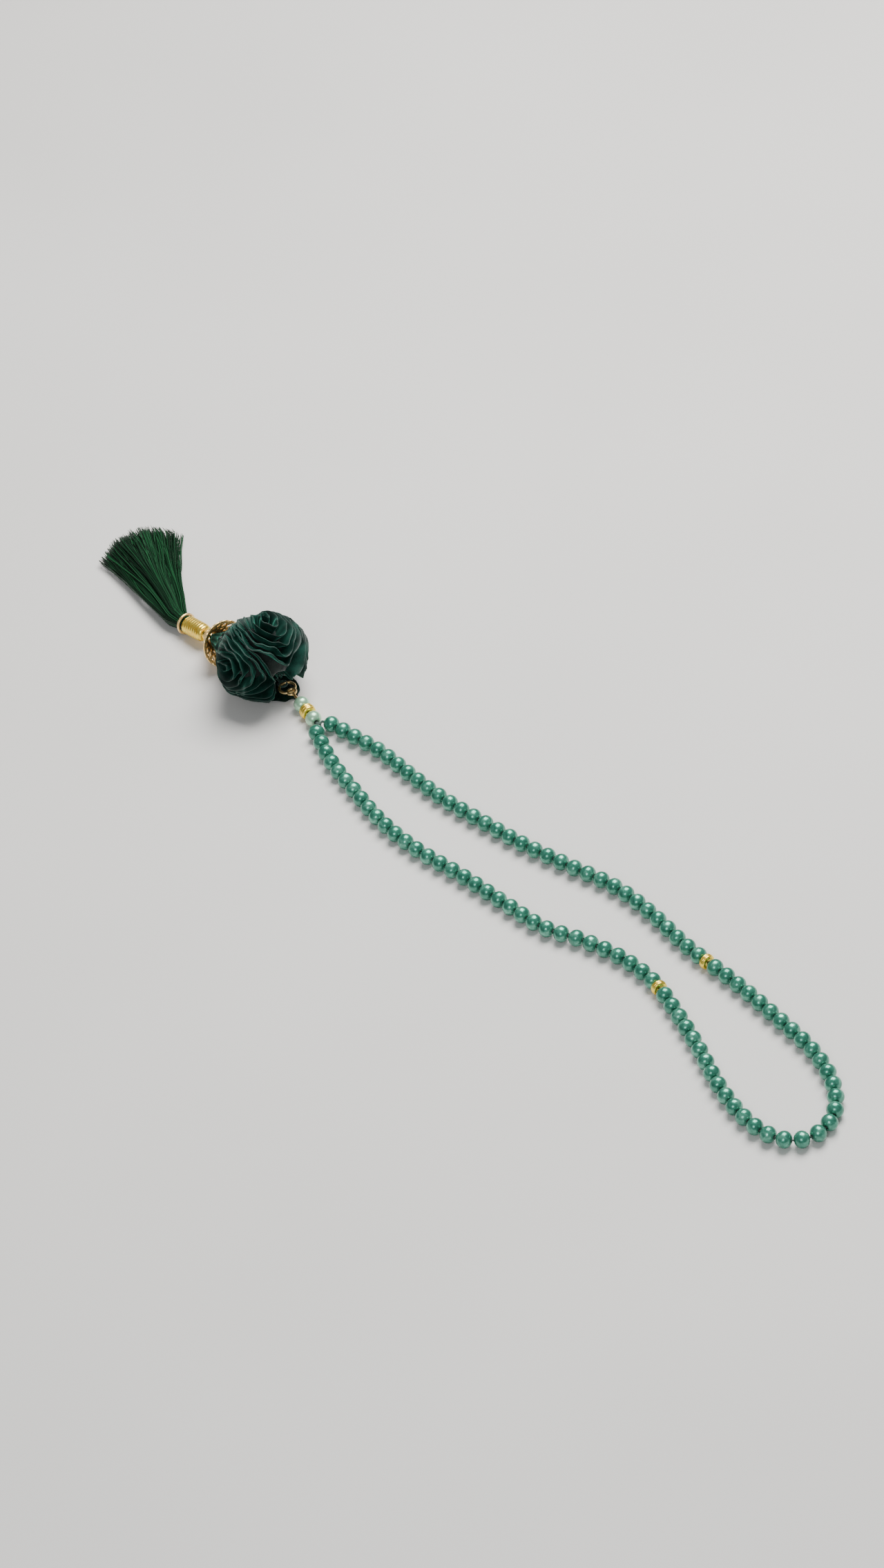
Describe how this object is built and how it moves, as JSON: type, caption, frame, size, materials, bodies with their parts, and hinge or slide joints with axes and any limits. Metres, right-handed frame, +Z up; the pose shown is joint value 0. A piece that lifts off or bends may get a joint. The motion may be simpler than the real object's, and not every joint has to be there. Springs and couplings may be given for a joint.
{
  "type": "prayer beads",
  "caption": "Prayer bead loop with gold dividers, a pearl head, a jump ring, a ruffled fabric flower, a filigree cap and a silk tassel.",
  "frame": {"origin": "on the ground, under the middle of the whole piece as it lies", "axes": "+X from the tassel to the far end of the bead loop, +Z up from the surface it lies on"},
  "size_m": [0.4279, 0.0521, 0.0324],
  "materials": {
    "pearl_green": "pearl coat, glossy",
    "pearl_pale": "pale pearl coat, glossy",
    "gold": "gold plated, polished",
    "cord": "waxed braided cord",
    "felt": "felt",
    "flower_fabric": "gathered chiffon with cut edges",
    "silk": "silk floss, soft sheen"
  },
  "bodies": {
    "head": {"head_thread": "cord", "eye_pin": "gold"},
    "head_pearl_lower": {"head_pearl_lower": "pearl_pale"},
    "head_disc": {"head_disc": "gold"},
    "head_pearl_upper": {"head_pearl_upper": "pearl_pale"},
    "jump_ring": {"jump_ring": "gold"},
    "flower": {"flower_thread": "cord", "flower_core": "felt", "flower_rosette_1": "flower_fabric", "flower_rosette_2": "flower_fabric", "flower_rosette_3": "flower_fabric", "flower_rosette_4": "flower_fabric", "filigree_cap": "gold"},
    "tassel": {"tassel_barrel": "gold", "tassel_ring": "gold", "tassel_binding": "silk", "silk_tassel": "silk"},
    "run_01": {"beads_01": "pearl_green", "beads_02": "pearl_green"},
    "run_02": {"beads_03": "pearl_green", "beads_04": "pearl_green"},
    "run_03": {"beads_05": "pearl_green", "beads_06": "pearl_green"},
    "run_04": {"beads_07": "pearl_green", "beads_08": "pearl_green"},
    "run_05": {"beads_09": "pearl_green", "beads_10": "pearl_green"},
    "run_06": {"beads_11": "pearl_green", "beads_12": "pearl_green"},
    "run_07": {"beads_13": "pearl_green", "beads_14": "pearl_green"},
    "run_08": {"beads_15": "pearl_green", "beads_16": "pearl_green"},
    "run_09": {"beads_17": "pearl_green"},
    "run_10": {"beads_18": "pearl_green", "beads_19": "pearl_green"},
    "run_11": {"beads_20": "pearl_green", "beads_21": "pearl_green"},
    "run_12": {"beads_22": "pearl_green", "beads_23": "pearl_green"},
    "run_13": {"beads_24": "pearl_green", "beads_25": "pearl_green"},
    "run_14": {"beads_26": "pearl_green", "beads_27": "pearl_green"},
    "run_15": {"beads_28": "pearl_green", "beads_29": "pearl_green"},
    "run_16": {"beads_30": "pearl_green", "beads_31": "pearl_green"},
    "run_17": {"beads_32": "pearl_green", "beads_33": "pearl_green"},
    "divider_1": {"divider_1": "gold"},
    "divider_2": {"divider_2": "gold"}
  },
  "joints": [
    {"name": "loop_spread", "type": "hinge", "parent": "head", "child": "run_01", "pos_m": [-0.07, -0.0056, 0.003], "axis": [0, 0, 1], "range_deg": [0, 40]},
    {"name": "bend_02", "type": "hinge", "parent": "run_01", "child": "run_02", "pos_m": [-0.03462, 0.00116, 0.003], "axis": [0, 0, 1], "range_deg": [-8.47, 0]},
    {"name": "bend_03", "type": "hinge", "parent": "run_02", "child": "run_03", "pos_m": [0.00055, 0.00385, 0.003], "axis": [0, 0, 1], "range_deg": [-25.22, 0]},
    {"name": "bend_04", "type": "hinge", "parent": "run_03", "child": "run_04", "pos_m": [0.03518, 0.01061, 0.003], "axis": [0, 0, 1], "range_deg": [-24.84, 0]},
    {"name": "bend_05", "type": "hinge", "parent": "run_04", "child": "run_05", "pos_m": [0.06915, 0.02015, 0.003], "axis": [0, 0, 1], "range_deg": [0, 7]},
    {"name": "bend_06", "type": "hinge", "parent": "run_05", "child": "run_06", "pos_m": [0.10428, 0.02172, 0.003], "axis": [0, 0, 1], "range_deg": [-17.74, 0]},
    {"name": "bend_07", "type": "hinge", "parent": "run_06", "child": "run_07", "pos_m": [0.14212, 0.02313, 0.003], "axis": [0, 0, 1], "range_deg": [-6.53, 0]},
    {"name": "bend_08", "type": "hinge", "parent": "run_07", "child": "run_08", "pos_m": [0.1774, 0.0228, 0.003], "axis": [0, 0, 1], "range_deg": [0, 24.97]},
    {"name": "bend_09", "type": "hinge", "parent": "run_08", "child": "run_09", "pos_m": [0.20852, 0.00887, 0.003], "axis": [0, 0, 1], "range_deg": [0, 36.98]},
    {"name": "left_spread", "type": "hinge", "parent": "head", "child": "run_17", "pos_m": [-0.07, -0.0089, 0.003], "axis": [0, 0, 1], "range_deg": [-33.91, 0]},
    {"name": "bend_16", "type": "hinge", "parent": "run_17", "child": "run_16", "pos_m": [-0.035, -0.01754, 0.003], "axis": [0, 0, 1], "range_deg": [0, 7.85]},
    {"name": "bend_15", "type": "hinge", "parent": "run_16", "child": "run_15", "pos_m": [0.00016, -0.01977, 0.003], "axis": [0, 0, 1], "range_deg": [0, 4.32]},
    {"name": "bend_14", "type": "hinge", "parent": "run_15", "child": "run_14", "pos_m": [0.035, -0.0144, 0.003], "axis": [0, 0, 1], "range_deg": [0, 9.78]},
    {"name": "bend_13", "type": "hinge", "parent": "run_14", "child": "run_13", "pos_m": [0.06992, -0.00937, 0.003], "axis": [0, 0, 1], "range_deg": [-4, 0]},
    {"name": "bend_12", "type": "hinge", "parent": "run_13", "child": "run_12", "pos_m": [0.10319, 0.00195, 0.003], "axis": [0, 0, 1], "range_deg": [0, 22.97]},
    {"name": "bend_11", "type": "hinge", "parent": "run_12", "child": "run_11", "pos_m": [0.14058, -0.00132, 0.003], "axis": [0, 0, 1], "range_deg": [0, 20.46]},
    {"name": "bend_10", "type": "hinge", "parent": "run_11", "child": "run_10", "pos_m": [0.17458, -0.01072, 0.003], "axis": [0, 0, 1], "range_deg": [0, 19.56]},
    {"name": "divider_1_spin", "type": "hinge", "parent": "run_06", "child": "divider_1", "pos_m": [0.12321, 0.02206, 0.003], "axis": [0.997, 0.077, 0], "continuous": true},
    {"name": "divider_2_spin", "type": "hinge", "parent": "run_12", "child": "divider_2", "pos_m": [0.12205, 0.00261, 0.003], "axis": [-0.9904, 0.138, 0], "continuous": true},
    {"name": "head_pearl_lower_spin", "type": "hinge", "parent": "head", "child": "head_pearl_lower", "pos_m": [-0.0735, -0.0072, 0.003], "axis": [-0.9908, 0.1356, 0], "continuous": true},
    {"name": "head_disc_spin", "type": "hinge", "parent": "head", "child": "head_disc", "pos_m": [-0.07826, -0.00655, 0.003], "axis": [-0.9908, 0.1356, 0], "continuous": true},
    {"name": "head_pearl_upper_spin", "type": "hinge", "parent": "head", "child": "head_pearl_upper", "pos_m": [-0.08301, -0.0059, 0.003], "axis": [-0.9908, 0.1356, 0], "continuous": true},
    {"name": "ring_swing", "type": "hinge", "parent": "head", "child": "jump_ring", "pos_m": [-0.09133, -0.00476, 0.003], "axis": [0, 0, 1], "range_deg": [-20, 20]},
    {"name": "flower_swing", "type": "hinge", "parent": "jump_ring", "child": "flower", "pos_m": [-0.09713, -0.00476, 0.003], "axis": [0, 0, 1], "range_deg": [-25, 25]},
    {"name": "tassel_swing", "type": "hinge", "parent": "flower", "child": "tassel", "pos_m": [-0.13769, -0.01165, 0.00575], "axis": [0, 0, 1], "range_deg": [-20, 20]}
  ],
  "couplings": [
    {"joint": "bend_02", "follows": "loop_spread", "ratio": -0.2117},
    {"joint": "bend_03", "follows": "loop_spread", "ratio": -0.6304},
    {"joint": "bend_04", "follows": "loop_spread", "ratio": -0.6211},
    {"joint": "bend_05", "follows": "loop_spread", "ratio": 0.175},
    {"joint": "bend_06", "follows": "loop_spread", "ratio": -0.4436},
    {"joint": "bend_07", "follows": "loop_spread", "ratio": -0.1632},
    {"joint": "bend_08", "follows": "loop_spread", "ratio": 0.6243},
    {"joint": "bend_09", "follows": "loop_spread", "ratio": 0.9244},
    {"joint": "left_spread", "follows": "loop_spread", "ratio": -0.8478},
    {"joint": "bend_16", "follows": "loop_spread", "ratio": 0.1963},
    {"joint": "bend_15", "follows": "loop_spread", "ratio": 0.1079},
    {"joint": "bend_14", "follows": "loop_spread", "ratio": 0.2445},
    {"joint": "bend_13", "follows": "loop_spread", "ratio": -0.1},
    {"joint": "bend_12", "follows": "loop_spread", "ratio": 0.5743},
    {"joint": "bend_11", "follows": "loop_spread", "ratio": 0.5116},
    {"joint": "bend_10", "follows": "loop_spread", "ratio": 0.489}
  ]
}
